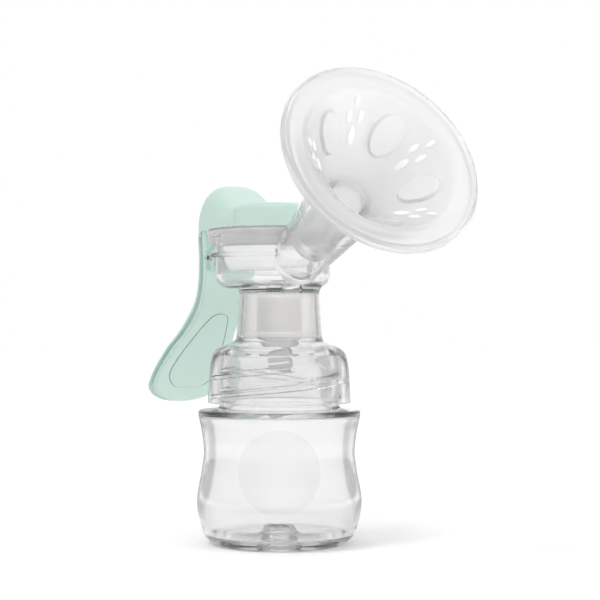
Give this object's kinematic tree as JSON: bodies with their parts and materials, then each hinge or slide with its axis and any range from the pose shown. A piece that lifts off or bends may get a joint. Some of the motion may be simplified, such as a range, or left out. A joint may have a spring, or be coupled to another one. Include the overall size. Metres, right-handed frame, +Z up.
{
  "type": "manual breast pump",
  "caption": "Hand-worked breast pump: a clear bottle, a screwed-on pump body with a leaning funnel and silicone cushion, and a lever handle that lifts a diaphragm.",
  "frame": {"origin": "centre of the bottle's foot ring, in the plane that it stands on", "axes": "+Z up along the bottle, +X towards the funnel, the object is symmetric about the XZ plane apart from its screw thread"},
  "size_m": [0.214, 0.085, 0.1963],
  "materials": {
    "clear_plastic": "clear polypropylene, gloss",
    "milky_silicone": "translucent silicone, satin",
    "white_silicone": "white silicone, satin",
    "clear_silicone": "clear silicone, satin",
    "white_plastic": "white moulded plastic",
    "mint_plastic": "mint green moulded plastic, satin",
    "mint_soft_touch": "mint green soft-touch plastic, matt"
  },
  "bodies": {
    "bottle_base": {"bottle": "clear_plastic"},
    "valve_carrier": {"duckbill_valve": "white_silicone"},
    "pump_head": {"pump_body": "clear_plastic", "diaphragm": "clear_silicone"},
    "cushion": {"massage_cushion": "milky_silicone"},
    "stem_rod": {"stem": "white_plastic"},
    "handle": {"handle_outer_shell": "mint_plastic", "handle_inner_shell": "mint_plastic", "handle_grip_pad": "mint_soft_touch"}
  },
  "joints": [
    {"name": "head_rise", "type": "slide", "parent": "bottle_base", "child": "valve_carrier", "axis": [0, 0, 1], "range_m": [0, 0.016]},
    {"name": "head_unscrew", "type": "hinge", "parent": "valve_carrier", "child": "pump_head", "pos_m": [0, 0, 0.0806], "axis": [0, 0, 1], "range_deg": [0, 360]},
    {"name": "handle_squeeze", "type": "hinge", "parent": "pump_head", "child": "handle", "pos_m": [-0.0385, 0, 0.12385], "axis": [0, -1, 0], "range_deg": [0, 22], "stiffness_Nm_per_rad": 0.8, "springref_deg": -3.44},
    {"name": "stem_lift", "type": "slide", "parent": "pump_head", "child": "stem_rod", "axis": [0, 0, 1], "range_m": [0, 0.0144], "deforming": ["diaphragm"]},
    {"name": "cushion_pull", "type": "slide", "parent": "pump_head", "child": "cushion", "axis": [0.8796, 0, 0.4756], "range_m": [0, 0.06]}
  ],
  "couplings": [
    {"joint": "head_rise", "follows": "head_unscrew", "m_per_rad": 0.0025465},
    {"joint": "stem_lift", "follows": "handle_squeeze", "m_per_rad": 0.03719}
  ]
}
